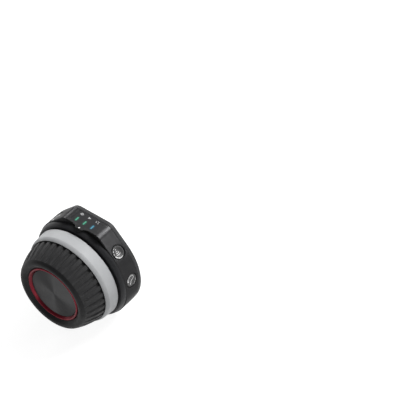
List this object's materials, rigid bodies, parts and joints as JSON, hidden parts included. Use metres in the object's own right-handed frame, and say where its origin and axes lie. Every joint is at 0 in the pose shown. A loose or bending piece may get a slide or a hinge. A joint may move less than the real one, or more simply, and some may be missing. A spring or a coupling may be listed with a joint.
{
  "type": "follow focus hand wheel",
  "caption": "Round wireless focus hand wheel: ribbed barrel knob and white marking ring on a flat round casing with status lights, push buttons and a threaded foot.",
  "frame": {"origin": "centre of the mounting socket's mouth, in the plane of the flat foot", "axes": "-Z out of the mounting socket, -Y out of the knob's front along the wheel's axis, +X to the side with two buttons as seen from the front"},
  "size_m": [0.075, 0.0511, 0.0759],
  "materials": {
    "casing": "satin dark anodised",
    "collar": "satin black anodised",
    "hub": "satin black",
    "cover": "fine matt anodised",
    "knob_plastic": "satin black",
    "grip_rubber": "matt moulded",
    "white_ring": "matt write-on white",
    "red_ring": "bright red anodised",
    "spun_cap": "spun dark anodised",
    "steel": "ground",
    "black_screw": "black oxide",
    "button": "satin",
    "window": "gloss tinted",
    "green_light": "translucent",
    "cyan_light": "translucent",
    "white_paint": "matt",
    "pcb": "solder mask",
    "cell": "foil",
    "seal": "matt",
    "felt": "soft"
  },
  "bodies": {
    "housing": {"body_casing": "casing", "front_collar": "collar", "index_dot": "white_paint", "rear_cover": "cover", "cover_gasket": "seal", "cover_screws": "black_screw", "collar_screws": "black_screw", "status_window": "window", "status_board": "pcb", "status_leds": "white_paint", "status_light_left": "green_light", "status_light_middle": "green_light", "status_light_right": "cyan_light", "main_board": "pcb", "encoder_chip": "knob_plastic", "radio_module": "steel", "board_screws": "steel", "battery_lower": "cell", "battery_left": "cell", "display_module": "window", "display_window": "window", "charge_port_shell": "steel", "charge_port_tongue": "knob_plastic", "mount_insert": "steel", "stop_block": "steel", "stop_pads": "seal", "damping_ring": "felt", "tact_switches": "knob_plastic", "switch_boards": "pcb", "front_bearing_outer_race": "steel", "rear_bearing_outer_race": "steel", "front_bearing_balls": "steel", "rear_bearing_balls": "steel"},
    "wheel": {"wheel_shaft": "steel", "bearing_spacer": "steel", "bearing_shim": "steel", "shaft_circlip": "black_screw", "encoder_magnet": "steel", "wheel_hub": "hub", "hub_screws": "black_screw", "stop_pin": "steel", "ring_magnets": "steel", "knob_core": "knob_plastic", "knob_screws": "black_screw", "grip_sleeve": "grip_rubber", "front_bezel": "knob_plastic", "red_trim_ring": "red_ring", "cap_disc": "spun_cap", "front_bearing_inner_race": "steel", "rear_bearing_inner_race": "steel"},
    "marking_ring": {"marking_ring": "white_ring", "ring_keeper_band": "steel"},
    "upper_right_button": {"upper_right_button_cap": "button", "upper_right_switch_plunger": "knob_plastic"},
    "lower_right_button": {"lower_right_button_cap": "button", "lower_right_switch_plunger": "knob_plastic"},
    "left_button": {"left_button_cap": "button", "left_switch_plunger": "knob_plastic"}
  },
  "joints": [
    {"name": "wheel_turn", "type": "hinge", "parent": "housing", "child": "wheel", "pos_m": [0, -0.0109, 0.0375], "axis": [0, -1, 0], "range_deg": [-150, 150]},
    {"name": "marking_ring_pull", "type": "slide", "parent": "wheel", "child": "marking_ring", "axis": [0, -1, 0], "range_m": [0, 0.028]},
    {"name": "upper_right_button_press", "type": "slide", "parent": "housing", "child": "upper_right_button", "axis": [-0.7071, 0, -0.7071], "range_m": [0, 0.0005], "stiffness_N_per_m": 1500, "springref_m": -0.0004},
    {"name": "lower_right_button_press", "type": "slide", "parent": "housing", "child": "lower_right_button", "axis": [-0.9848, 0, -0.1736], "range_m": [0, 0.0005], "stiffness_N_per_m": 1500, "springref_m": -0.0004},
    {"name": "left_button_press", "type": "slide", "parent": "housing", "child": "left_button", "axis": [0.7071, 0, -0.7071], "range_m": [0, 0.0005], "stiffness_N_per_m": 1500, "springref_m": -0.0004}
  ]
}
